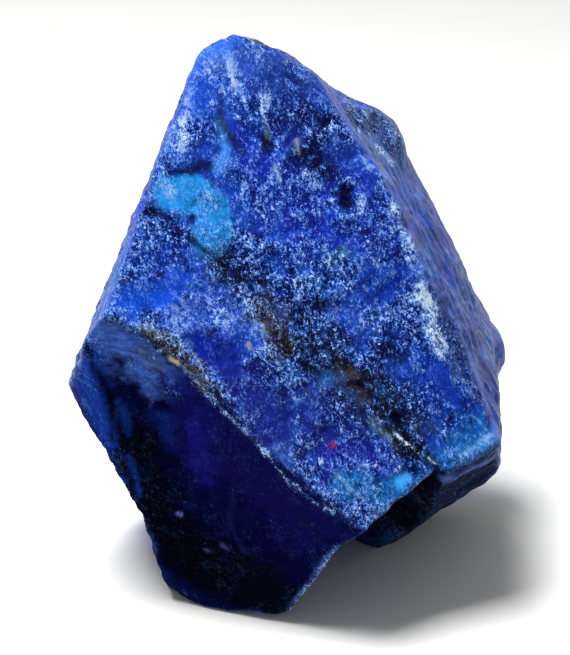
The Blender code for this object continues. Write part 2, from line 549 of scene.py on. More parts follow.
MARKS = (
    # The crown is paler partly in its own colour and partly as painted reflection on the apex bevel; its
    # white haze is painted reflection
    Mark("pale crown", ((208, 56), (238, 62)), 3.2, 3.0, "#2C60C4", 0.8, frost_and_highlight=0.15, calm=0.35),
    Mark("white crown reflection", ((214, 66), (232, 72)), 1.6, 1.6, "#5C8CE0", 0.6, frost_and_highlight=0.4),
    Mark("grey crown", ((262, 56), (306, 82)), 2.6, 2.0, "#243C84", 0.8, calm=0.5),
    Mark("crown crack", ((286, 74), (296, 82), (308, 88)), 0.15, 0.5, "#10142C", 0.7, soot_and_shade=0.5, depth=0.3),
    Mark("azure shoulder", ((192, 92), (232, 100)), 4.2, 3.6, "#1846BC", 0.8, frost_and_highlight=0.1, calm=0.4),
    Mark("blue crown", ((250, 78), (280, 100)), 3.0, 2.6, "#1C3C9C", 0.7, calm=0.5),
    Mark("dim upper right", ((286, 92), (312, 128), (330, 165)), 4.5, 3.5, "#142878", 0.75, soot_and_shade=0.15),
    Mark("deep middle", ((256, 150), (290, 200), (322, 230)), 6.0, 4.0, "#10209A", 0.7, calm=0.35),
    Mark("light streak", ((220, 124), (225, 148), (222, 166)), 0.9, 0.9, "#3C88DC", 0.8, frost_and_highlight=0.15,
         calm=0.3),
    Mark("turquoise window", ((172, 190), (198, 196), (213, 212), (213, 240)), 3.3, 0.5, "#1C80CC", 0.95,
         frost_and_highlight=0.12, calm=0.4),
    Mark("turquoise corner", ((164, 190), (186, 204)), 1.9, 1.3, "#1C88DA", 0.8, frost_and_highlight=0.05, calm=0.3),
    Mark("turquoise heart", ((204, 222), (214, 240)), 1.5, 1.5, "#2286DA", 0.7, frost_and_highlight=0.1, calm=0.2),
    Mark("azure window", ((136, 304), (158, 296), (178, 284)), 2.4, 2.2, "#0C46C0", 0.9, calm=0.8),
    Mark("left low field", ((160, 258), (190, 280)), 3.5, 3.0, "#1434A6", 0.6, frost_and_highlight=0.05, calm=0.3),
    Mark("smooth blue", ((204, 346), (230, 366)), 3.4, 2.2, "#0A187C", 0.9, calm=0.9),
    Mark("violet field", ((240, 396), (285, 430), (346, 440)), 6.0, 3.5, "#181A6C", 0.75, frost_and_highlight=-0.15,
         calm=0.4),
    Mark("bright violet", ((332, 462), (366, 456), (384, 462)), 2.6, 2.2, "#1C20A0", 0.6, frost_and_highlight=0.05,
         calm=0.2),
    Mark("smooth right blue", ((380, 286), (400, 276)), 2.8, 1.6, "#06207C", 0.9, calm=0.7),
    Mark("right band", ((430, 366), (456, 396), (478, 424)), 4.6, 2.4, "#0C2E94", 0.85, frost_and_highlight=-0.15,
         calm=0.4),
    Mark("upper right blue", ((346, 180), (380, 230)), 3.2, 2.6, "#12289A", 0.7, calm=0.3),
    Mark("teal bay", ((348, 482), (384, 489), (408, 486)), 2.4, 1.2, "#0E60A4", 0.85, frost_and_highlight=0.1, calm=0.4),
    Mark("teal bay rim", ((337, 473), (348, 484), (365, 500)), 0.25, 0.3, "#7CB4D8", 0.6, chalk=0.35),
    Mark("cyan spot", ((401, 482), (408, 478)), 0.9, 0.6, "#389CEA", 0.95, frost_and_highlight=0.1, calm=0.5),
    Mark("teal ledge", ((450, 466), (464, 452), (486, 436)), 4.0, 2.0, "#0C5098", 0.9, calm=0.6),
    Mark("ledge frost", ((464, 458), (478, 448), (497, 440)), 1.0, 1.1, "#2C78BC", 0.5, frost_and_highlight=0.2, comb=0.4),
    Mark("ledge streak", ((464, 454), (478, 447), (493, 434)), 0.12, 0.35, "#7CB0DC", 0.5, frost_and_highlight=0.45),
    Mark("second ledge streak", ((474, 416), (481, 422), (486, 429)), 0.1, 0.3, "#6CA4D8", 0.5, frost_and_highlight=0.4),
    # Lavender rim of the ledge's underside: painted reflection over real fibres
    Mark("lavender reflection on the ledge rim", ((444, 478), (458, 482), (470, 473), (494, 460), (505, 453)), 1.1, 0.7, "#46548E", 0.8,
         zone=None, comb=0.2),
    # The slot is carved, and its black is painted shade
    Mark("slot before the ledge", ((428, 452), (438, 466), (444, 476)), 0.7, 0.8, "#04060C", 0.9, zone=None,
         soot_and_shade=0.5, depth=0.6),
    Mark("ledge white end", ((488, 440), (497, 434)), 0.8, 0.7, frost_and_highlight=0.7),
    Mark("green bit", ((330, 262), (344, 254)), 1.2, 1.0, "#2E6088", 0.8, frost_and_highlight=0.15),
    Mark("second green bit", ((302, 280), (318, 284)), 1.1, 1.2, "#20507C", 0.7, frost_and_highlight=0.1),
    Mark("pale green patch", ((376, 420), (388, 430), (399, 439)), 1.1, 0.9, "#6C9C98", 0.9, frost_and_highlight=0.45,
         calm=0.2),
    Mark("grey mottling", ((292, 322), (330, 366), (380, 400)), 5.5, 4.0, "#14244E", 0.65, soot_and_shade=0.1),
    Mark("azure bits", ((312, 348), (322, 358), (330, 378)), 1.6, 1.2, "#1E66C0", 0.85, frost_and_highlight=0.15),
    Mark("azure bit low", ((288, 362), (296, 370)), 1.1, 0.8, "#2A74CC", 0.85, frost_and_highlight=0.1),
    Mark("frosted middle", ((182, 316), (224, 304), (270, 322)), 3.4, 3.0, frost_and_highlight=0.45),
    Mark("frost by the core", ((250, 300), (262, 326), (268, 350)), 1.6, 1.6, frost_and_highlight=0.3),
    Mark("frosted right", ((352, 300), (378, 316), (396, 352)), 3.4, 3.0, frost_and_highlight=0.15),
    Mark("frost below the vein", ((300, 392), (330, 402), (352, 420)), 1.8, 1.8, frost_and_highlight=0.2),
    Mark("frost on the rim", ((286, 452), (300, 470), (296, 486)), 1.6, 1.4, "#2C50A0", 0.5, frost_and_highlight=0.3),
    Mark("frosted bottom", ((318, 490), (350, 512)), 1.5, 1.5, frost_and_highlight=0.1),
    Mark("frost specks left", ((178, 312), (184, 326)), 1.2, 1.0, frost_and_highlight=0.6),
    # Whitish streaks and patch: partly whitish crystals, partly painted sheen on small ridges
    Mark("upper left streaks", ((188, 92), (180, 120), (176, 140)), 1.2, 1.4, frost_and_highlight=0.4),
    Mark("upper left patch", ((180, 138), (188, 152), (194, 164)), 1.0, 1.2, frost_and_highlight=0.35),
    Mark("crown streak", ((230, 62), (233, 82)), 0.7, 0.7, frost_and_highlight=0.95),
    Mark("crown fleck", ((209, 70), (212, 80)), 0.5, 0.5, frost_and_highlight=1.0),
    Mark("crown second streak", ((238, 84), (240, 96)), 0.6, 0.7, frost_and_highlight=0.6),
    Mark("hanging streak", ((262, 94), (264, 114)), 0.6, 0.6, frost_and_highlight=1.0),
    Mark("second hanging streak", ((269, 86), (271, 106)), 0.35, 0.4, frost_and_highlight=1.1),
    Mark("third hanging streak", ((250, 102), (252, 120)), 0.35, 0.4, frost_and_highlight=1.0),
    # Whitish streaks: partly whitish crystals, partly painted sheen on small ridges
    Mark("left crown streak", ((192, 84), (191, 106)), 0.35, 0.5, frost_and_highlight=0.7),
    Mark("shoulder streak", ((183, 118), (186, 156)), 0.4, 0.6, frost_and_highlight=0.7),
    Mark("fine crown streak", ((212, 86), (213, 100)), 0.35, 0.4, frost_and_highlight=1.1),
    Mark("streak by the pit", ((363, 190), (361, 212)), 0.6, 0.6, frost_and_highlight=0.95),
    Mark("fleck under the edge", ((366, 160), (372, 170)), 0.8, 0.7, frost_and_highlight=0.85),
    Mark("frost past the pit", ((318, 176), (322, 190)), 0.6, 0.7, frost_and_highlight=0.6),
    Mark("frosted edge", ((399, 208), (408, 240), (418, 270), (426, 300)), 1.0, 1.0, zone=None, frost_and_highlight=0.75),
    Mark("chalk patch", ((431, 314), (435, 328), (441, 346)), 1.8, 1.2, zone=None, frost_and_highlight=0.9, chalk=0.45),
    Mark("chalk patch tail", ((426, 292), (428, 304)), 0.8, 0.6, zone=None, frost_and_highlight=0.8, chalk=0.6),
    Mark("chalk fleck", ((411, 300), (417, 298)), 0.6, 0.6, frost_and_highlight=0.9, chalk=0.4),
    Mark("vein haze", ((222, 262), (250, 285), (290, 330), (330, 370), (372, 396), (412, 440)), 2.6, 3.0,
         "#2A323C", 0.7, frost_and_highlight=-0.15, soot_and_shade=0.15),
    Mark("vein", ((150, 207), (165, 215), (184, 231), (205, 250), (239, 275), (262, 296)), 0.2, 0.6,
         "#1C222C", 0.85, soot_and_shade=0.8, depth=0.4),
    Mark("lower vein", ((284, 340), (297, 357), (343, 388), (362, 384), (398, 416), (412, 442), (437, 464)),
         0.15, 0.8, "#1C222C", 0.6, soot_and_shade=0.5, depth=0.35),
    Mark("brown core", ((268, 302), (278, 322), (284, 350)), 1.5, 2.0, "#463E2C", 0.85, soot_and_shade=0.2, calm=0.12,
         depth=0.2),
    Mark("dark patch", ((342, 360), (356, 378), (366, 394)), 1.2, 1.8, "#38342A", 0.85, soot_and_shade=0.2, calm=0.12,
         depth=0.2),
    Mark("black end", ((396, 424), (414, 448), (428, 458)), 1.3, 1.2, "#10120E", 0.85, soot_and_shade=0.3, depth=0.3),
    Mark("white crack", ((398, 434), (410, 444), (424, 456), (436, 464)), 0.3, 0.35, "#7C98C0", 0.7,
         chalk=0.55),
    Mark("dark zone", ((300, 152), (314, 160), (330, 172)), 1.8, 1.8, "#0E1440", 0.8, soot_and_shade=0.5, depth=0.15),
    Mark("dark zone low", ((318, 300), (336, 304)), 1.2, 1.4, "#0C1238", 0.7, soot_and_shade=0.5),
    Mark("dark gap right", ((380, 350), (402, 358)), 1.2, 1.4, "#0C1440", 0.7, soot_and_shade=0.45),
    Mark("pit", ((270, 141), (271, 146)), 1.15, 0.8, "#14160E", 0.95, soot_and_shade=1.3, depth=0.7),
    Mark("streak over the pit", ((269, 122), (271, 136)), 0.45, 0.4, "#6C90A0", 0.6, frost_and_highlight=0.7),
    Mark("streak under the pit", ((276, 166), (280, 180)), 0.4, 0.4, "#8CA4B8", 0.7, frost_and_highlight=0.6),
    Mark("fleck right of the pit", ((298, 143), (301, 152)), 0.35, 0.4, "#8CA4B8", 0.7, frost_and_highlight=0.6),
    Mark("long pit", ((346, 193), (348, 203)), 1.05, 0.8, "#0B0B12", 0.95, soot_and_shade=1.2, depth=0.7),
    Mark("brown streak", ((223, 94), (222, 118)), 0.4, 0.6, "#20223C", 0.85, soot_and_shade=0.6),
    Mark("brown streak low", ((222, 120), (234, 138), (244, 154)), 0.6, 0.8, "#22222C", 0.85, soot_and_shade=0.8),
    Mark("dark bar", ((182, 173), (198, 170), (209, 164)), 0.6, 0.8, "#10121E", 0.9, soot_and_shade=0.8, depth=0.25),
    Mark("notch in the outline", ((146, 198), (150, 207)), 1.0, 1.8, zone=None, depth=1.1),
    Mark("brown fleck", ((128, 282), (130, 283)), 0.4, 0.4, "#2C241E", 0.9, soot_and_shade=0.5),
    Mark("spot", ((212, 334), (216, 334)), 0.5, 0.5, "#0E1030", 0.9, soot_and_shade=0.6, depth=0.25),
    Mark("cream speck", ((251, 345), (252, 348)), 0.4, 0.3, "#A09A84", 1.0),
    Mark("red speck", ((334, 443), (335, 446)), 0.28, 0.25, "#9C2014", 1.0),
    Mark("olive grains", ((148, 328), (162, 336), (178, 348)), 1.3, 1.0, "#6A7244", 0.9, zone=None,
         calm=-12.0),
    Mark("brown rim", ((164, 346), (186, 358), (202, 380), (216, 398)), 1.7, 0.9, "#4C4638", 0.92, zone=None,
         calm=-12.0),
    Mark("grey chips on the rim", ((190, 372), (204, 390), (214, 400)), 0.6, 0.6, "#747C84", 0.9, zone=None,
         frost_and_highlight=0.5, calm=-12.0),
    Mark("gold grains", ((171, 360), (179, 364)), 0.5, 0.4, "#B8B080", 0.95, zone=None, calm=0.8),
    Mark("yellow fleck", ((145, 361), (148, 363)), 0.4, 0.4, "#7A7038", 0.8, zone=None),
    Mark("brown pit", ((107, 330), (112, 333)), 0.7, 0.5, "#26221C", 0.9, zone=None, soot_and_shade=0.5, depth=0.3),
    Mark("chipped rim", ((218, 403), (228, 415), (245, 430), (265, 452)), 0.4, 0.5, "#6C8CD0", 0.6,
         zone=None, frost_and_highlight=0.6, chalk=0.3, calm=-12.0),
    Mark("chipped rim low", ((265, 452), (290, 480), (320, 505), (335, 512)), 0.35, 0.5, "#4C6CA8", 0.6,
         zone=None, frost_and_highlight=0.5, chalk=0.35, calm=-12.0),
    Mark("chipped notch rim", ((376, 513), (391, 508), (405, 497), (420, 484), (433, 471)), 0.2, 0.3,
         "#6C98C8", 0.8, zone=None, chalk=0.4),
    # Painted highlight along the ridge, on a smoother surface
    Mark("highlight on the ridge beside the right band",
         ((433, 282), (446, 302), (463, 332), (472, 355), (481, 381), (492, 412), (503, 436)), 0.3, 1.0,
         "#6478C0", 0.65, zone=None, calm=0.6),
    # Lavender on the upper shaded face is painted sheen over real fibres
    Mark("lavender sheen on the brow", ((100, 336), (132, 352), (164, 380)), 3.4, 3.0, "#3C5CB0", 0.85, zone=Zone.SHADE,
         comb=0.6, calm=-9.0),
    Mark("olive brow", ((146, 350), (156, 366)), 1.2, 1.2, "#3C4A6A", 0.7, zone=Zone.SHADE),
    Mark("blue cheek", ((184, 392), (208, 416)), 3.0, 3.0, "#10186C", 0.85, zone=Zone.SHADE, comb=0.15),
    # Deep violet navy: the face's own dark colour with painted shade
    Mark("violet shade", ((200, 420), (262, 470), (318, 522)), 6.5, 3.5, "#0B0B44", 0.9, zone=Zone.SHADE),
    # Painted reflections: soft blue patches on the glossy shaded face
    Mark("violet reflection", ((196, 420), (204, 452), (208, 480)), 1.0, 3.0, "#101064", 0.8, zone=Zone.SHADE),
    Mark("navy reflection", ((160, 418), (170, 440)), 1.4, 1.8, "#0C1C60", 0.7, zone=Zone.SHADE),
    # Near-black low on the left and at the foot: painted shade over the dark face
    Mark("painted shade low on the left", ((136, 450), (156, 510), (196, 560)), 5.5, 3.5, "#020308", 0.95, zone=None),
    Mark("painted shade at the foot", ((200, 560), (250, 580), (280, 600)), 6.0, 4.0, "#04040A", 0.9, zone=None),
    Mark("grey specks", ((308, 518), (322, 540)), 1.4, 1.4, "#0E1230", 0.4, zone=Zone.SHADE, chalk=0.12),
    Mark("pale dot", ((180, 512), (181, 514)), 0.3, 0.35, "#5A64A8", 0.9, zone=Zone.SHADE),
    Mark("second pale dot", ((208, 549), (210, 551)), 0.35, 0.5, "#343C6C", 0.9, zone=Zone.SHADE),
    Mark("third pale dot", ((224, 546), (227, 549)), 0.3, 0.5, "#343C6C", 0.8, zone=Zone.SHADE),
    Mark("flake edge", ((236, 490), (230, 519), (235, 538), (246, 552)), 0.2, 0.6, "#141A50", 0.5,
         zone=Zone.SHADE, depth=0.12),
    Mark("corner rim", ((340, 547), (328, 562), (312, 584), (300, 601), (290, 613)), 0.5, 0.6, "#34447C",
         0.7, zone=None, frost_and_highlight=0.35, calm=-10.0),
    # Carries the painted shade of the shaded face onto the lower left side
    Mark("dark corner", ((112, 440), (130, 480), (150, 520), (176, 560), (190, 590)), 7.0, 6.0, "#04051E",
         0.9, zone=Zone.LOWER_LEFT, frost_and_highlight=-0.3, calm=0.7),
    Mark("blue chip", ((78, 350), (84, 372), (94, 402), (104, 430)), 3.6, 1.6, "#10308A", 0.92, zone=None,
         comb=-0.15),
    # The crack is carved, and its black is a painted shadow in the gap
    Mark("chip crack", ((86, 348), (94, 365), (101, 379), (108, 392), (111, 408), (112, 440)), 0.5, 0.8,
         "#04050A", 0.95, zone=None, soot_and_shade=0.4, depth=0.5),
    Mark("black streak", ((116, 400), (124, 430), (134, 462)), 1.4, 1.2, "#030408", 0.95, zone=Zone.SHADE),
    Mark("blue sliver", ((122, 402), (126, 416), (132, 436)), 0.25, 0.8, "#0C2870", 0.85, zone=None,
         comb=0.3),
    Mark("low blue sliver", ((129, 456), (136, 478), (140, 494)), 0.4, 0.9, "#0C2A74", 0.85, zone=None,
         comb=0.3),
    Mark("knob chalk", ((380, 148), (388, 152), (394, 160)), 1.2, 0.9, "#5878B0", 0.5, zone=Zone.FLANK,
         frost_and_highlight=0.6, chalk=0.45),
    Mark("flank blue", ((404, 176), (418, 204), (424, 216)), 1.8, 1.6, "#1C48A0", 0.8, zone=Zone.FLANK,
         frost_and_highlight=0.1),
    Mark("knob grey", ((366, 118), (384, 126), (394, 136)), 4.2, 1.6, "#1A2C62", 0.85, zone=None, comb=-0.7,
         calm=-5.0),
    Mark("knob rim", ((352, 104), (368, 104), (384, 114), (398, 134)), 0.3, 0.6, "#5A74B0", 0.6, zone=None),
    Mark("knob crease", ((352, 112), (364, 134), (378, 158)), 0.4, 1.2, "#22284C", 0.6, zone=None, depth=0.4),
    # Painted shade deep in the notch
    Mark("painted shade in the notch", ((396, 508), (404, 516), (414, 505), (424, 496), (432, 486)), 6.5, 3.0, "#020205",
         0.97, zone=Zone.NOTCH, comb=-0.4, calm=0.8),
    Mark("corner blue", ((497, 346), (502, 356)), 1.4, 1.2, "#14449C", 0.9, zone=Zone.FLANK),
)


@dataclass(frozen=True)
class Field:
    """A kind of patch on the hidden sides: its width in millimetres, how rare it is and its look."""

    tint: str
    size: float
    start: float
    seed: int
    frost_and_highlight: float = 0.0
    calm: float = 0.0
    layers: int = 2
    edge: float = 0.12
    cover: float = 0.85

    def spread(self) -> Spread:
        """Where the patches are."""
        return Spread(Waves(self.size, self.seed, self.layers), self.start, self.start + self.edge)


@dataclass(frozen=True)
class Sheet:
    """A vein that runs through the whole stone as a wavy sheet beside the one seen in front, turned by
    degrees and moved off by millimetres. Beside it is a halo, broken up into bands."""

    tint: str
    halo: str
    turn: float
    shift: float
    reach: float
    seed: int
    cover: float = 0.85
    soot_and_shade: float = 0.7
    depth: float = 0.4
    broad_bend: float = 5.0
    broad_size: float = 26.0
    small_bend: float = 1.6
    small_size: float = 5.0
    stretch_size: float = 11.0
    stretch_start: float = -0.3
    stretch_end: float = 0.1
    edge: float = 0.7
    core: float = 0.4
    halo_shift: float = 2.0
    halo_reach: tuple[float, float] = (0.5, 4.0)
    halo_bands: float = 0.1
    halo_band_edge: tuple[float, float] = (0.2, 0.6)
    halo_cover: float = 0.7

    def bend(self, points: np.ndarray) -> np.ndarray:
        """How far the sheet is bent off its plane, by broad and small waves."""
        broad = Waves(self.broad_size, self.seed, 2).at(points)
        return self.broad_bend * broad + self.small_bend * Waves(self.small_size, self.seed, 3).at(points)

    def stretches(self, points: np.ndarray) -> np.ndarray:
        """Where the sheet is filled, from 0 to 1."""
        return Spread(Waves(self.stretch_size, self.seed, 2), self.stretch_start, self.stretch_end).at(points)

    def halo_share(self, off: np.ndarray, height: np.ndarray) -> np.ndarray:
        """How much halo is at this distance off the sheet and this height."""
        beside = 1.0 - ease(np.abs(off - self.halo_shift), *self.halo_reach)
        return beside * ease(height * self.halo_bands % 1.0, *self.halo_band_edge)

    def vein_share(self, off: np.ndarray) -> np.ndarray:
        """How much vein is at this distance off the sheet."""
        return 1.0 - ease(np.abs(off), self.reach * self.core, self.reach + self.edge)


# Pixels of the photograph at both ends of the vein that is seen in front
VEIN_ENDS = ((165, 215), (412, 442))

VEIN_SHEETS = (
    Sheet("#14161C", "#1660AC", 0.0, 0.0, 0.7, 651),
    Sheet("#1C1E22", "#26304C", 9.0, 24.0, 0.4, 671),
    Sheet("#1A1C24", "#1C3C9C", 62.0, -9.0, 0.3, 691),
    Sheet("#5C7CA8", "#2C4C9C", -38.0, 6.0, 0.2, 711),
)

HIDDEN_FIELDS = (
    Field("#0A187C", 22.0, 0.12, 511, calm=0.75),
    Field("#1C1C88", 18.0, 0.2, 521, frost_and_highlight=-0.1, calm=0.4),
    Field("#0E1440", 13.0, 0.2, 531, frost_and_highlight=-0.4),
    Field("#1848BC", 16.0, 0.22, 541, frost_and_highlight=0.1, calm=0.4),
    Field("#16285E", 12.0, 0.24, 551, frost_and_highlight=0.3),
    Field("#1668B4", 15.0, 0.33, 561, frost_and_highlight=0.1, calm=0.4),
    Field("#5C8CC0", 7.0, 0.36, 571, frost_and_highlight=0.9),
    Field("#2E2A20", 9.0, 0.36, 581, frost_and_highlight=-0.1),
)


@dataclass(frozen=True)
class Ground:
    """Plain look of a zone: its colour, how frosted, sooty, sugary, fibrous and glossy it is, how much it
    shows of the hidden sides' patches and veins, and how its fibres run."""

    colour: str
    frost_and_highlight: float
    soot_and_shade: float
    sugary: float
    fibrous: float
    gloss: float
    hidden: float = 0.0
    comb: Comb = Comb.FLANK


GROUNDS = {
    Zone.FRONT: Ground("#14369A", 0.0, 0.0, 1.0, 0.0, 0.3),
    # Near-black navy: partly the face's own dark colour, partly painted shade of a downward face
    Zone.SHADE: Ground("#05062E", -0.3, 0.0, 0.03, 0.0, 0.0, comb=Comb.FAN),
    # Greyish lavender blue: partly painted sheen of the grazing flank
    Zone.FLANK: Ground("#384E9C", -0.1, 0.0, 0.15, 0.65, 0.16, 0.4),
    Zone.RIDGE: Ground("#0C1C60", 0.0, 0.0, 0.5, 0.2, 0.3),
    Zone.STRIP: Ground("#385CB8", 0.0, 0.0, 0.3, 0.6, 0.3, 0.2, Comb.STRIP),
    Zone.CHIP: Ground("#0A2470", -0.1, 0.0, 0.2, 0.55, 0.0, 0.2, Comb.FAN),
    Zone.LOWER_LEFT: Ground("#0A1448", -0.3, 0.0, 0.25, 0.6, 0.0, 0.6, Comb.FAN),
    Zone.LEDGE: Ground("#0A1028", -0.1, 0.1, 0.1, 0.9, 0.01, comb=Comb.LEDGE),
    Zone.NOTCH: Ground("#091034", -0.1, 0.1, 0.3, 0.5, 0.02, 0.4, Comb.LEDGE),
    Zone.BACK: Ground("#14349A", 0.0, 0.05, 0.95, 0.1, 0.3, 1.0),
    Zone.FOOT: Ground("#080E34", -0.1, 0.0, 0.5, 0.0, 0.1, 0.8),
    Zone.LEFT: Ground("#1A3C9E", 0.0, 0.0, 0.6, 0.45, 0.2, 0.8),
}


@dataclass
class Look:
    """What the material needs at every point: rows of linear tint, one share of each kind of texture, and
    the depth in millimetres that is carved in."""

    # The tint and the shares of pale crystals and dark matter carry painted highlight and painted shade too
    tint: np.ndarray
    frost_and_highlight: np.ndarray
    soot_and_shade: np.ndarray
    sugary: np.ndarray
    fibrous: np.ndarray
    gloss: np.ndarray
    chalk: np.ndarray
    depth: np.ndarray

    def cover(self, colour: str, share: np.ndarray) -> None:
        """Lay an sRGB hex colour over the tint by the share of each point."""
        self.tint = self.tint + share[:, None] * (np.array(linear(colour)[:3]) - self.tint)

    def add(self, mark: Mark, inside: np.ndarray) -> None:
        """Add a mark.

        Args:
            mark: Which mark.
            inside: How much of it is at each point.
        """
        if mark.tint:
            self.cover(mark.tint, inside * mark.cover)
        self.frost_and_highlight += inside * mark.frost_and_highlight
        self.soot_and_shade += inside * mark.soot_and_shade
        self.fibrous += inside * mark.comb
        self.sugary = self.sugary * (1.0 - inside * mark.calm)
        self.chalk = np.maximum(self.chalk, inside * mark.chalk)
        self.depth += inside * mark.depth


def add_node(
    tree: bpy.types.NodeTree, kind: str, inputs: dict | tuple = (), **settings: str
) -> bpy.types.Node:
    """Add a node with its settings and links.

    Args:
        tree: The node tree.
        kind: Blender's name of the node type.
        inputs: Sockets or nodes to link or values to set, by name or number, or from the first input on.
        settings: Properties to set on the node.

    Returns:
        The new node.
    """
    node = tree.nodes.new(kind)
    for name, value in settings.items():
        setattr(node, name, value)
    for name, value in inputs.items() if isinstance(inputs, dict) else enumerate(inputs):
        source = value.outputs[0] if isinstance(value, bpy.types.Node) else value
        if isinstance(source, bpy.types.NodeSocket):
            tree.links.new(source, node.inputs[name])
        else:
            node.inputs[name].default_value = source
    return node


@dataclass(frozen=True)
class Noise:
    """A noise pattern: its width in millimetres, then its detail, roughness and distortion."""

    size: float
    detail: float
    roughness: float = 0.5
    distortion: float = 0.0


@dataclass(frozen=True)
class Wash:
    """A colour laid over sugary ground where a pattern goes from start to end, up to its most."""

    colour: str
    start: float
    end: float
    most: float


@dataclass(frozen=True)
class OiledSapphire:
    """Massive opaque sapphire, broken and oiled: sugary crystals that read as pale crumbs and curls over a
    wet deep blue, with satin fibres on the flanks. Its reflections are blue seen straight on and white at a
    grazing angle.

    Four numbers together are where a range starts and ends, and its values there. A relief is its depth in
    millimetres and its strength. The whitest crumbs are partly painted glints.
    """

    name: str = "Massive sapphire, broken and oiled"

    # The film of oil meets the air, so its index is used and not that of the stone
    ior: float = 1.5
    straight_on: str = "#1438A8"
    sheen: tuple[float, ...] = (0.3, 0.7, 0.26, 0.44)

    # Real crystals are down to 0.2 mm wide, a pixel of the photograph, and are drawn coarser as crisp crumbs
    crumbs: Noise = Noise(0.55, 2.6, 0.8, 0.8)
    crumb_relief: tuple[float, float] = (0.8, 1.0)

    # Curled crystal edges are thin lines where a slow noise crosses its middle
    curls: Noise = Noise(1.0, 2.0, distortion=1.2)
    curl_line: tuple[float, ...] = (0.045, 0.0, 0.0, 1.0)

    # Drifts of colour, seen as cloudy azure and violet between the crumbs
    drift: Noise = Noise(2.4, 3.0)
    drift_washes: tuple[Wash, ...] = (Wash("#1C60CC", 0.53, 0.64, 0.6), Wash("#120C70", 0.46, 0.36, 0.6))

    # Satin fibres, seen as fine pale and dark lines, and drawn coarser than the real ones so that they show
    fibres: Noise = Noise(1.1, 4.0, 0.65)
    fibre_shades: tuple[float, ...] = (0.36, 0.66, 0.3, 1.75)
    fibre_relief: tuple[float, float] = (0.5, 0.6)

    # Crumbs plus these shares of drift, curls, pale crystals and dark matter, which hold painted highlight
    # and
    # shade too: low is wet deep blue, high is pale crumbs, whose whitest wash is partly painted glints
    shares: tuple[float, ...] = (0.14, 0.09, 0.14, -0.16)
    deepening: tuple[float, ...] = (0.58, 0.52, 1.0, 0.2)
    crumb_and_glint_washes: tuple[Wash, ...] = (
        Wash("#6694E2", 0.61, 0.65, 0.95),
        Wash("#C4DCEE", 0.71, 0.75, 0.95),
        Wash("#030509", 0.44, 0.37, 0.95),
    )

    # Chalk is solid white with a crumbly edge
    chalk: str = "#C4DCEE"
    chalk_crumbs: float = 1.6
    chalk_edge: tuple[float, ...] = (1.2, 1.4, 0.0, 0.95)

    def washed(
        self,
        tree: bpy.types.NodeTree,
        look: bpy.types.NodeSocket | bpy.types.Node,
        pattern: bpy.types.Node,
        sugary: bpy.types.NodeSocket,
        washes: tuple[Wash, ...],
    ) -> bpy.types.NodeSocket:
        """Lay washes over a look, one after the other.

        Args:
            tree: The node tree.
            look: The colour so far.
            pattern: What the washes follow.
            sugary: How much of them shows.
            washes: The washes.

        Returns:
            The colour with the washes.
        """
        for wash in washes:
            share = add_node(tree, "ShaderNodeMapRange", (pattern, wash.start, wash.end, 0.0, wash.most))
            share = add_node(tree, "ShaderNodeMath", (share, sugary), operation="MULTIPLY")
            inputs = {0: share, 6: look, 7: linear(wash.colour)}
            look = add_node(tree, "ShaderNodeMix", inputs, data_type="RGBA").outputs[2]
        return look

    def material(self) -> bpy.types.Material:
        """Build the material.

        Returns:
            The material.
        """
        made = bpy.data.materials.new(self.name)
        made.use_nodes = True
        tree = made.node_tree
        shader = tree.nodes["Principled BSDF"]
        maths, ramp, mix = "ShaderNodeMath", "ShaderNodeMapRange", "ShaderNodeMix"
        scale, bump = "ShaderNodeVectorMath", "ShaderNodeBump"
        names = ("grain_place", "fibre_place", "tint", "frost_and_highlight", "soot_and_shade", "chalk", "sugary", "fibrous", "gloss")
        read = [add_node(tree, "ShaderNodeAttribute", attribute_name=name) for name in names]
        place, combed_place = (node.outputs["Vector"] for node in read[:2])
        frost_and_highlight, soot_and_shade, chalk, sugary, fibrous, gloss = (node.outputs["Fac"] for node in read[3:])

        noises = []
        placed = ((place, self.drift), (place, self.crumbs), (place, self.curls), (combed_place, self.fibres))
        for at, noise in placed:
            inputs = {"Vector": at, "Scale": 1 / (noise.size * MM), "Detail": noise.detail}
            inputs |= {"Roughness": noise.roughness, "Distortion": noise.distortion}
            noises.append(add_node(tree, "ShaderNodeTexNoise", inputs))
        drift, crumbs, curls, fibres = noises
        curls = add_node(tree, maths, (curls, 0.5), operation="SUBTRACT")
        curls = add_node(tree, maths, (curls,), operation="ABSOLUTE")
        curls = add_node(tree, ramp, (curls, *self.curl_line))
        pattern = crumbs
        for source, share in zip((drift, curls, frost_and_highlight, soot_and_shade), self.shares):
            pattern = add_node(tree, maths, (source, share, pattern), operation="MULTIPLY_ADD")

        combed = add_node(tree, ramp, (fibres, *self.fibre_shades))
        combed = add_node(tree, mix, {0: fibrous, 2: 1.0, 3: combed}, data_type="FLOAT")
        look = add_node(tree, scale, {0: read[2].outputs["Color"], "Scale": combed}, operation="SCALE")
        look = self.washed(tree, look, drift, sugary, self.drift_washes)
        deep = add_node(tree, ramp, (pattern, *self.deepening))
        deep = add_node(tree, mix, {0: sugary, 2: 1.0, 3: deep}, data_type="FLOAT")
        look = add_node(tree, scale, {0: look, "Scale": deep}, operation="SCALE")
        look = self.washed(tree, look, pattern, sugary, self.crumb_and_glint_washes)
        chalky = add_node(tree, maths, (crumbs, self.chalk_crumbs, chalk), operation="MULTIPLY_ADD")
        chalky = add_node(tree, ramp, (chalky, *self.chalk_edge))
        look = add_node(tree, mix, {0: chalky, 6: look, 7: linear(self.chalk)}, data_type="RGBA").outputs[2]
        tree.links.new(look, shader.inputs["Base Color"])

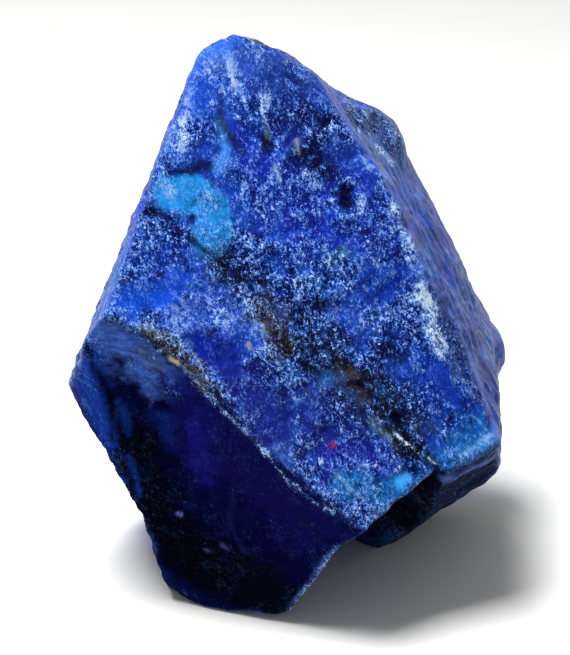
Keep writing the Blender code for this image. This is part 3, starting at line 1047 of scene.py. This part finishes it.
        sheen = add_node(tree, ramp, (drift, *self.sheen))
        tree.links.new(sheen.outputs[0], shader.inputs["Roughness"])
        tree.links.new(gloss, shader.inputs["Specular IOR Level"])
        shader.inputs["Specular Tint"].default_value = linear(self.straight_on)
        shader.inputs["IOR"].default_value = self.ior

        (crumb_depth, crumb_strength), (fibre_depth, fibre_strength) = self.crumb_relief, self.fibre_relief
        height = add_node(tree, maths, (crumbs, sugary), operation="MULTIPLY")
        inputs = {"Strength": crumb_strength, "Distance": crumb_depth * MM, "Height": height}
        relief = add_node(tree, bump, inputs)
        height = add_node(tree, maths, (fibres, fibrous), operation="MULTIPLY")
        inputs = {"Strength": fibre_strength, "Distance": fibre_depth * MM, "Height": height}
        relief = add_node(tree, bump, inputs | {"Normal": relief})
        tree.links.new(relief.outputs[0], shader.inputs["Normal"])
        return made


@dataclass(frozen=True)
class MattPaper:
    """Matt pale paper: an even, soft ground without gloss. Widths are millimetres."""

    name: str = "Matt white paper"
    colour: str = "#F2F2F0"
    roughness: float = 0.9
    gloss: float = 0.2

    # Fibres of paper are finer than a pixel and are drawn coarser, as soft clumps
    fibre: float = 4.0
    fibre_detail: float = 3.0
    tooth: float = 0.1
    tooth_strength: float = 0.05

    def material(self) -> bpy.types.Material:
        """Build the material.

        Returns:
            The material.
        """
        made = bpy.data.materials.new(self.name)
        made.use_nodes = True
        tree = made.node_tree
        shader = tree.nodes["Principled BSDF"]
        place = add_node(tree, "ShaderNodeTexCoord").outputs["Object"]
        inputs = {"Vector": place, "Scale": 1 / (self.fibre * MM), "Detail": self.fibre_detail}
        fibre = add_node(tree, "ShaderNodeTexNoise", inputs)
        inputs = {"Strength": self.tooth_strength, "Distance": self.tooth * MM, "Height": fibre}
        tooth = add_node(tree, "ShaderNodeBump", inputs)
        tree.links.new(tooth.outputs[0], shader.inputs["Normal"])
        shader.inputs["Base Color"].default_value = linear(self.colour)
        shader.inputs["Roughness"].default_value = self.roughness
        shader.inputs["Specular IOR Level"].default_value = self.gloss
        return made


def keep_on_points(mesh: bpy.types.Mesh, name: str, kind: str, slot: str, values: np.ndarray) -> None:
    """Keep values on the points of a mesh as a named attribute of this kind, whose data is called slot."""
    layer = mesh.attributes.new(name, kind, "POINT")
    layer.data.foreach_set(slot, values.astype(np.float32).ravel())


@dataclass
class Surface:
    """The rough surface: rows of places and unit normals, the quads, and for each point its shares of the
    zones, and its pixel and distance, which is endless where it is turned away."""

    points: np.ndarray
    normals: np.ndarray
    quads: np.ndarray
    shares: np.ndarray
    seen: np.ndarray

    # Points so many pixels near a pixel can be under it, and a pixel off counts as so many millimetres more
    pixel_reach: float = 3.0
    pixel_cost: float = 0.5

    # Surroundings are so many steps halfway to the neighbours' mean, and so far below them is a full hollow
    surroundings: int = 6
    full_hollow: float = 0.12

    def mixed(self, values: list) -> np.ndarray:
        """Mix one value or row for each zone by the shares of each point."""
        return self.shares @ np.array(values)

    def sunken(self) -> np.ndarray:
        """Depth of each point below its surroundings.

        Returns:
            From 1 in a full hollow to -1 on a ridge.
        """
        starts, ends = self.quads.ravel(), np.roll(self.quads, -1, axis=1).ravel()
        count = np.bincount(starts, minlength=len(self.points))[:, None]
        smooth = self.points
        for _ in range(self.surroundings):
            smooth = 0.5 * smooth + 0.5 * summed(starts, smooth[ends], len(smooth)) / count
        return np.clip(((smooth - self.points) * self.normals).sum(axis=1) / self.full_hollow, -1.0, 1.0)

    def located(self, path: tuple[tuple[float, float], ...]) -> np.ndarray:
        """Places on the stone that pixels of the photograph fall on.

        Args:
            path: Pixels across and down.

        Returns:
            One row of x, y and z for each pixel.
        """
        found = []
        for across, down in path:
            off = np.hypot(self.seen[:, 0] - across, self.seen[:, 1] - down)
            close = off < off[np.isfinite(self.seen[:, 2])].min() + self.pixel_reach
            further = np.where(close, self.seen[:, 2] + off * self.pixel_cost, np.inf)
            found.append(self.points[np.argmin(further)])
        return np.array(found)

    def mesh(self) -> bpy.types.Mesh:
        """Put the surface into a mesh with smooth shading.

        Returns:
            The mesh.
        """
        mesh = bpy.data.meshes.new("stone")
        mesh.vertices.add(len(self.points))
        mesh.vertices.foreach_set("co", (self.points * MM).astype(np.float32).ravel())
        mesh.loops.add(self.quads.size)
        mesh.loops.foreach_set("vertex_index", self.quads.astype(np.int32).ravel())
        mesh.polygons.add(len(self.quads))
        mesh.polygons.foreach_set("loop_start", np.arange(0, self.quads.size, 4, dtype=np.int32))
        mesh.update(calc_edges=True)
        mesh.validate()
        mesh.polygons.foreach_set("use_smooth", np.ones(len(self.quads), bool))
        return mesh


@dataclass
class RoughStone:
    """The stone: a ball of quads pushed out from a point inside until each meets the broken faces."""

    camera: PhotoCamera
    heart: tuple[float, float, float] = (0.15, -5.09, 45.0)
    middle: tuple[float, float, float] = (10.15, 4.91, 45.0)
    cells: int = 128

    # Evening out the grid: how often, and the shares of a point's own place and of its neighbours' mean
    relaxing: int = 60
    own_share: float = 0.3
    near_share: float = 0.7

    # Finding the surface: how far in and out from the sharp faces, and in how many halvings
    search_in: float = 7.0
    search_out: float = 4.0
    halvings: int = 16

    # Rounding where faces meet, and its factor at the break and the knobs
    rounding: float = 0.28
    break_rounding: float = 0.7
    knob_rounding: float = 2.5

    # Relief: how high the scallops lie, and how much of the rough and the grain hollows and knobs have
    scallop_size: float = 13.0
    scallop_seed: int = 51
    scallop_level: float = 0.35
    hollow_rough: float = 0.5
    hollow_grain: float = 0.3
    knob_rough: float = 0.4

    # Fibres: the corner that they fan from, and what is left of a length along them, which draws them out
    fan_corner: tuple[float, float, float] = (-43.0, -31.0, 31.0)
    fan_radius: float = 30.0
    fan_shorten: float = 0.24
    fan_depth: float = 0.5
    comb_shorten: float = 0.2
    comb_side: tuple[float, float, float] = (0.3, 0.5, 0.8)
    fibre_bend: tuple[float, float, float] = (1.0, -0.6, 0.4)

    # Crystals hang down the front face, across this direction, and so do the streaks of frost
    across_front: tuple[float, float, float] = (0.97, 0.2, 0.1)
    grain_shorten: float = 0.75
    frost_shorten: float = 0.35

    # A zone reaches this many millimetres off its faces, and this far in the cosine of the turn from them
    zone_height: float = 0.9
    zone_turn: float = 0.12

    # Painted light from the relief: full hollows get a darker tint and more dark matter as painted shade,
    # ridges a lighter tint and more pale crystals as painted highlight
    hollow_shade: float = 0.15
    hollow_painted_shade: float = 0.25
    ridge_painted_highlight: float = 0.25

    # Edges of marks: ragged by these shares of reach and fade, and kept to where their zone has this share
    ragged_reach: float = 0.4
    ragged_fade: float = 0.9
    inner_fade: float = 0.5
    zone_edge: tuple[float, float] = (0.2, 0.7)

    # The sheets pass behind the heart here
    behind_heart: tuple[float, float, float] = (0.0, 14.0, 6.0)

    def ball_grid(self) -> tuple[np.ndarray, np.ndarray]:
        """Cube of square grids blown up to a ball: each row and column is spaced by the tangent of its
        angle.

        Returns:
            Unit directions, and quads of their indices that face outwards.
        """
        n = self.cells
        a, b = np.meshgrid(np.arange(n + 1), np.arange(n + 1), indexing="ij")
        sides = []
        for axis in range(3):
            for level in (0, n):
                corner = np.empty((n + 1, n + 1, 3), np.int64)
                corner[..., axis] = level
                corner[..., (axis + 1) % 3] = a
                corner[..., (axis + 2) % 3] = b
                sides.append(corner)
        grid = np.stack(sides)
        keys = (grid[..., 0] * (n + 1) + grid[..., 1]) * (n + 1) + grid[..., 2]
        _, first, index = np.unique(keys, return_index=True, return_inverse=True)
        index = index.reshape(keys.shape)
        spots = grid.reshape(-1, 3)[first]
        directions = unit(np.tan((2.0 * spots / n - 1.0) * pi / 4))
        around = (index[:, :-1, :-1], index[:, 1:, :-1], index[:, 1:, 1:], index[:, :-1, 1:])
        quads = np.stack(around, axis=-1).reshape(-1, 4)
        corners = directions[quads]
        out = np.cross(corners[:, 1] - corners[:, 0], corners[:, 2] - corners[:, 0])
        inward = (out * corners.mean(axis=1)).sum(axis=1) < 0
        quads[inward] = quads[inward][:, ::-1]
        return directions, quads

    def plane_reach(self, faces: tuple[Face, ...], directions: np.ndarray) -> np.ndarray:
        """Distance from the middle to each face, endless where a direction never meets it.

        Args:
            faces: The faces.
            directions: Unit rows.

        Returns:
            One row for each direction, one column for each face.
        """
        outward = outward_of(faces)
        to_middle = np.array(self.middle) - np.array(self.heart)
        gap = np.array([face.reach for face in faces]) - outward @ to_middle
        lean = directions @ outward.T
        return np.where(lean > LEAST_LEAN, gap / np.maximum(lean, LEAST_LEAN), ENDLESS)

    def sharp_reach(self, directions: np.ndarray) -> np.ndarray:
        """Distance from the middle to the sharp-edged stone: the least to a round face, and the most among
        the two breaks and the ledge, less where a ball-shaped hollow comes first.

        Args:
            directions: Unit rows.

        Returns:
            One distance for each direction.
        """
        breaks = self.plane_reach(BREAK_FACES, directions).max(axis=1)
        ledge = self.plane_reach(LEDGE_FACES, directions).min(axis=1)
        reach = np.minimum(self.plane_reach(ROUND_FACES, directions).min(axis=1), np.maximum(breaks, ledge))
        for hollow in HOLLOWS:
            centre = self.hollow_centre(hollow) - np.array(self.middle)
            near = directions @ centre
            inside = near**2 - centre @ centre + hollow.radius**2
            entry = near - np.sqrt(np.maximum(inside, 0.0))
            reach = np.where((inside > 0) & (entry > 0), np.minimum(reach, entry), reach)
        return reach

    def hollow_centre(self, hollow: Hollow) -> np.ndarray:
        """Centre of the ball that fits a hollow."""
        outward = facing(np.array(hollow.bearing), np.array(hollow.pitch))
        return np.array(self.heart) + outward * hollow.distance

    def relaxed(self, directions: np.ndarray, quads: np.ndarray) -> np.ndarray:
        """Even out the grid: again and again, points move towards their neighbours and back to the surface.

        Args:
            directions: Unit rows.
            quads: Indices of the quads.

        Returns:
            New unit rows.
        """
        starts, ends = quads.ravel(), np.roll(quads, -1, axis=1).ravel()
        count = np.bincount(starts, minlength=len(directions))[:, None]
        for _ in range(self.relaxing):
            points = directions * self.sharp_reach(directions)[:, None]
            near = summed(starts, points[ends], len(points))
            directions = unit(self.own_share * points + self.near_share * near / count)
        return directions

    def fibre_frame(self, points: np.ndarray, comb: Comb) -> np.ndarray:
        """Places measured along and across fibres, shortened along them, so a pattern is drawn out. A fan is
        measured by the angle round its corner and the distance from it.

        Args:
            points: Rows of x, y and z.
            comb: Which way the fibres run.

        Returns:
            Rows of along, across and depth.
        """
        outward = face_named(comb.value).outward()
        if comb is Comb.FAN:
            off = points - np.array(self.fan_corner)
            level = unit(np.cross([0.0, 0.0, 1.0], outward))
            x, y = off @ level, off @ np.cross(outward, level)
            turn = np.arctan2(y, x) * self.fan_radius * self.fan_shorten
            return np.stack([turn, np.hypot(x, y), off @ outward * self.fan_depth], axis=1)
        along = unit(np.cross(face_named("broad front face").outward(), outward))
        side = unit(np.cross(along, self.comb_side))
        depth = np.cross(along, side)
        return np.stack([points @ along * self.comb_shorten, points @ side, points @ depth], axis=1)

    def grain_frame(self, points: np.ndarray, shorten: float) -> np.ndarray:
        """Places shortened along the slope of the broad front face, so that crystals hang down it.

        Args:
            points: Rows of x, y and z.
            shorten: What is left of a length along the slope.

        Returns:
            Rows of x, y and z.
        """
        slope = unit(np.cross(face_named("broad front face").outward(), self.across_front))
        return points - (1.0 - shorten) * (points @ slope)[:, None] * slope

    def solve(self, directions: np.ndarray) -> np.ndarray:
        """Push the ball out to the rough faces. A place is inside the stone while the smooth largest of its
        heights over all faces, each raised by its own relief, is below zero; halving finds where that height
        is zero.

        Args:
            directions: Unit rows.

        Returns:
            Rows of x, y and z on the surface.
        """
        middle, heart = np.array(self.middle), np.array(self.heart)
        first = self.sharp_reach(directions)
        points = middle + directions * first[:, None]
        bent = points + SCALLOP_BEND.at(points)[:, None]
        swell, grain = SWELL.at(points), GRAIN.at(points)
        scallop = self.scallop_level - scallops(bent, self.scallop_size, self.scallop_seed)
        rough = ROUGH.at(points) - np.abs(CRESTS.at(points))
        fibre = {comb: FIBRE.at(self.fibre_frame(points, comb)) for comb in Comb}
        lift = np.stack(
            [
                swell * face.fracture.value.swell
                + scallop * face.fracture.value.scallop
                + rough * face.fracture.value.rough
                + grain * face.fracture.value.grain
                + fibre[GROUNDS[face.zone].comb] * face.fracture.value.fibre
                for face in FACES
            ],
            axis=1,
        )
        outward, reach = outward_of(FACES), np.array([face.reach for face in FACES])
        rounds, breaks = len(ROUND_FACES), len(BREAK_FACES)
        rounding = self.rounding + np.maximum(EDGE_WEAR.at(points), 0.0)
        centres = [self.hollow_centre(hollow) for hollow in HOLLOWS]
        low, high = first - self.search_in, first + self.search_out
        for _ in range(self.halvings):
            at = (low + high) / 2
            place = middle + directions * at[:, None]
            height = (place - heart) @ outward.T - reach - lift
            ledge = soft_max(height[:, rounds + breaks :], rounding)
            cut = np.column_stack([height[:, rounds : rounds + breaks], ledge])
            cut = -soft_max(-cut, rounding * self.break_rounding)
            balls = [
                hollow.radius
                - np.linalg.norm(place - centre, axis=1)
                - self.hollow_rough * rough
                - self.hollow_grain * grain
                for hollow, centre in zip(HOLLOWS, centres)
            ]
            total = soft_max(np.column_stack([height[:, :rounds], cut, *balls]), rounding)
            for knob in KNOBS:
                lump = np.linalg.norm(place - np.array(knob.centre), axis=1) - knob.radius
                lump = lump - self.knob_rough * rough
                total = -soft_max(-np.column_stack([total, lump]), rounding * self.knob_rounding)
            out = total > 0
            high = np.where(out, at, high)
            low = np.where(out, low, at)
        return middle + directions * ((low + high) / 2)[:, None]

    def zone_shares(self, points: np.ndarray, normals: np.ndarray) -> np.ndarray:
        """How much each point belongs to each zone, less with height over its faces and turning from them.

        Args:
            points: Rows of x, y and z.
            normals: Unit rows.

        Returns:
            One row for each point, one column for each zone, each row adding up to 1.
        """
        heart = np.array(self.heart)
        shares = np.full((len(points), len(Zone)), LEAST_SHARE)
        for face in FACES:
            outward = face.outward()
            height = np.abs((points - heart) @ outward - face.reach)
            fit = np.exp(-height / self.zone_height - (1.0 - normals @ outward) / self.zone_turn)
            shares[:, face.zone.value] = np.maximum(shares[:, face.zone.value], fit)
        for hollow in HOLLOWS:
            off = points - self.hollow_centre(hollow)
            gap = np.linalg.norm(off, axis=1)
            turned = 1.0 + (normals * off).sum(axis=1) / gap
            fit = np.exp(-np.abs(gap - hollow.radius) / self.zone_height - turned / self.zone_turn)
            shares[:, hollow.zone.value] = np.maximum(shares[:, hollow.zone.value], fit)
        return shares / shares.sum(axis=1, keepdims=True)

    def off_sheet(self, surface: Surface, sheet: Sheet) -> np.ndarray:
        """Signed distance to a wavy sheet: the plane through both ends of the vein seen in front and a place
        behind the heart of the stone, turned about the line from the vein to that place, moved off and bent
        by waves.

        Args:
            surface: The surface.
            sheet: Which sheet.

        Returns:
            One distance for each point, in millimetres.
        """
        upper, lower = surface.located(VEIN_ENDS)
        between = (upper + lower) / 2
        depth = unit(np.array(self.heart) + self.behind_heart - between)
        across = unit(np.cross(unit(lower - upper), depth))
        turn = radians(sheet.turn)
        normal = across * np.cos(turn) + np.cross(depth, across) * np.sin(turn)
        return (surface.points - between) @ normal - sheet.shift + sheet.bend(surface.points)

    def ground_look(self, surface: Surface) -> Look:
        """Mix the grounds of the zones, then vary their tone, streak them with pale crystals and scatter dark
        matter, and paint shade into their hollows and highlight onto their ridges.

        Args:
            surface: The surface.

        Returns:
            The look without marks.
        """
        points, sunken = surface.points, surface.sunken()
        grounds = [GROUNDS[zone] for zone in Zone]
        tint = surface.mixed([linear(ground.colour)[:3] for ground in grounds])
        # Random tone, darker in hollows as painted shade and lighter on ridges as painted highlight
        tint *= (1.0 + SHADES.at(points) - self.hollow_shade * sunken)[:, None]
        frost_and_highlight, soot_and_shade, sugary, fibrous, gloss = (
            surface.mixed([getattr(ground, kind) for ground in grounds])
            for kind in ("frost_and_highlight", "soot_and_shade", "sugary", "fibrous", "gloss")
        )
        frost_and_highlight += sugary * FROST_STREAKS.at(self.grain_frame(points, self.frost_shorten))
        # More pale crystals on ridges as painted highlight
        frost_and_highlight -= self.ridge_painted_highlight * sunken
        # Dark matter at random, and more in hollows as painted shade
        soot_and_shade += sugary * (SOOT_BITS.at(points) + self.hollow_painted_shade * np.maximum(sunken, 0.0))
        sugary *= 1.0 - CALM_FIELDS.at(points)
        nothing = np.zeros(len(points))
        return Look(tint, frost_and_highlight, soot_and_shade, sugary, fibrous, gloss, nothing, nothing.copy())

    def dress_hidden_sides(self, look: Look, surface: Surface) -> None:
        """Lay patches and veins over the sides that are out of the photograph's sight.

        Args:
            look: The look to change.
            surface: The surface.
        """
        hidden = surface.mixed([GROUNDS[zone].hidden for zone in Zone])
        wandering = surface.points + WANDER.at(surface.points)[:, None]
        for field in HIDDEN_FIELDS:
            inside = hidden * field.spread().at(wandering)
            look.cover(field.tint, inside * field.cover)
            look.frost_and_highlight += inside * field.frost_and_highlight
            look.sugary *= 1.0 - inside * field.calm
        for sheet in VEIN_SHEETS:
            off = self.off_sheet(surface, sheet)
            filled = hidden * sheet.stretches(surface.points)
            look.cover(sheet.halo, filled * sheet.halo_share(off, wandering[:, 2]) * sheet.halo_cover)
            inside = filled * sheet.vein_share(off)
            look.cover(sheet.tint, inside * sheet.cover)
            look.soot_and_shade += sheet.soot_and_shade * inside
            look.depth += sheet.depth * inside

    def dress_seen_side(self, look: Look, surface: Surface) -> None:
        """Add every mark of the photograph, each with a ragged edge.

        Args:
            look: The look to change.
            surface: The surface.
        """
        ragged = RAGGED_EDGES.at(surface.points) + FINE_RAGGED_EDGES.at(surface.points)
        for mark in MARKS:
            off = to_path(surface.points, surface.located(mark.path))
            off += (self.ragged_reach * mark.reach + self.ragged_fade * mark.fade) * ragged
            inside = 1.0 - ease(off, mark.reach - mark.fade * self.inner_fade, mark.reach + mark.fade)
            if mark.zone is not None:
                inside *= ease(surface.shares[:, mark.zone.value], *self.zone_edge)
            look.add(mark, inside)

    def fitted(self, points: np.ndarray) -> np.ndarray:
        """Stretch the stone a little, so that its box is the box of the CAD model.

        Args:
            points: Rows of x, y and z.

        Returns:
            New rows of x, y and z.
        """
        low, high = (np.array(corner) / MM for corner in CAD_BOX)
        own_low, own_high = points.min(axis=0), points.max(axis=0)
        LOG.info("stone's own size %s against %s", (own_high - own_low).round(2), (high - low).round(2))
        return low + (points - own_low) * (high - low) / (own_high - own_low)

    def dress(self, mesh: bpy.types.Mesh, look: Look, surface: Surface) -> None:
        """Keep the look and the places of fibres and grain on the mesh, and give it its material.

        Args:
            mesh: The mesh.
            look: The look.
            surface: The surface.
        """
        points = surface.points
        bent = points + FIBRE_BEND.at(points)[:, None] * np.array(self.fibre_bend)
        zone_of, fibre_place = surface.shares.argmax(axis=1), np.zeros_like(points)
        for zone in Zone:
            chosen = zone_of == zone.value
            fibre_place[chosen] = self.fibre_frame(bent[chosen], GROUNDS[zone].comb)
        look.sugary = np.clip(look.sugary, 0.0, 1.0)
        look.fibrous = np.clip(look.fibrous, 0.0, 1.0)
        for name in ("frost_and_highlight", "soot_and_shade", "chalk", "sugary", "fibrous", "gloss"):
            keep_on_points(mesh, name, "FLOAT", "value", getattr(look, name))
        grain_place = self.grain_frame(points, self.grain_shorten)
        keep_on_points(mesh, "grain_place", "FLOAT_VECTOR", "vector", grain_place * MM)
        keep_on_points(mesh, "fibre_place", "FLOAT_VECTOR", "vector", fibre_place * MM)
        colours = np.column_stack([look.tint, np.ones(len(points))])
        keep_on_points(mesh, "tint", "FLOAT_COLOR", "color", colours)
        mesh.materials.append(OiledSapphire().material())

    def build(self) -> bpy.types.Object:
        """Make the stone's mesh, carve and colour it, and dress it.

        Returns:
            The stone.
        """
        directions, quads = self.ball_grid()
        points = self.solve(self.relaxed(directions, quads))
        normals = normals_of(points, quads)
        seen = self.camera.in_frame(points)
        away = ((self.camera.eye() - points) * normals).sum(axis=1) <= 0
        seen[away, 2] = np.inf
        surface = Surface(points, normals, quads, self.zone_shares(points, normals), seen)
        look = self.ground_look(surface)
        self.dress_hidden_sides(look, surface)
        self.dress_seen_side(look, surface)
        surface.points = self.fitted(points - normals * look.depth[:, None])
        mesh = surface.mesh()
        self.dress(mesh, look, surface)
        stone = bpy.data.objects.new("broken_stone", mesh)
        bpy.context.scene.collection.objects.link(stone)
        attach(stone, "root")
        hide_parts("rough_sapphire")
        return stone


@dataclass(frozen=True)
class SoftLight:
    """A soft light with an even glow over its rectangle, in millimetres and watts."""

    name: str
    place: tuple[float, float, float]
    aim: tuple[float, float, float]
    size: tuple[float, float]
    power: float

    # Leans a little, so that a light straight overhead has a side too
    upward: tuple[float, float, float] = (0.0, 0.05, 1.0)

    def build(self) -> bpy.types.Object:
        """Hang the light, which the camera doesn't see.

        Returns:
            The light.
        """
        data = bpy.data.lights.new(self.name, "AREA")
        data.shape = "RECTANGLE"
        data.size, data.size_y = (length * MM for length in self.size)
        data.energy = self.power
        item = bpy.data.objects.new(self.name, data)
        toward = unit(np.array(self.aim) - np.array(self.place))
        side = unit(np.cross(toward, self.upward))
        turn = Matrix((side, np.cross(side, toward), -toward)).transposed().to_4x4()
        item.matrix_world = Matrix.Translation(np.array(self.place) * MM) @ turn
        item.visible_camera = False
        bpy.context.scene.collection.objects.link(item)
        return item


@dataclass
class Studio:
    """Pale paper floor, a large soft light overhead, two more behind the stone and a bright room."""

    floor_radius: float = 2500.0
    floor_points: int = 96
    room: str = "#FFFFFF"
    room_strength: float = 0.3
    lights: tuple[SoftLight, ...] = (
        SoftLight("overhead_light", (-150.0, -40.0, 640.0), (0.0, 0.0, 40.0), (260.0, 260.0), 6.6),
        SoftLight("right_rear_light", (1066.0, 1444.0, 250.0), (0.0, 0.0, 50.0), (1200.0, 480.0), 3.4),
        SoftLight("left_rear_light", (-1120.0, 1404.0, 250.0), (0.0, 0.0, 50.0), (1200.0, 480.0), 2.4),
    )

    def build(self) -> bpy.types.Object:
        """Make the floor, the lights and the room's own light.

        Returns:
            The floor.
        """
        turn = np.linspace(0.0, 2 * pi, self.floor_points, endpoint=False)
        ring = np.stack([np.cos(turn), np.sin(turn), np.zeros_like(turn)], axis=1) * self.floor_radius * MM
        mesh = bpy.data.meshes.new("floor")
        mesh.from_pydata(ring.tolist(), [], [list(range(len(ring)))])
        mesh.materials.append(MattPaper().material())
        floor = bpy.data.objects.new("floor", mesh)
        bpy.context.scene.collection.objects.link(floor)
        for light in self.lights:
            light.build()
        world = bpy.data.worlds.new("room")
        world.use_nodes = True
        background = world.node_tree.nodes["Background"]
        background.inputs["Color"].default_value = linear(self.room)
        background.inputs["Strength"].default_value = self.room_strength
        bpy.context.scene.world = world
        bpy.context.scene.view_settings.view_transform = "Standard"
        return floor


def main() -> None:
    """Build the camera, the studio and the stone, and keep the sizes."""
    logging.basicConfig(level=logging.INFO, format="%(name)s: %(message)s")
    camera = PhotoCamera()
    for piece in (camera.build(), Studio().build(), RoughStone(camera).build()):
        LOG.info("built %s", piece.name)


if __name__ == "__main__":
    main()
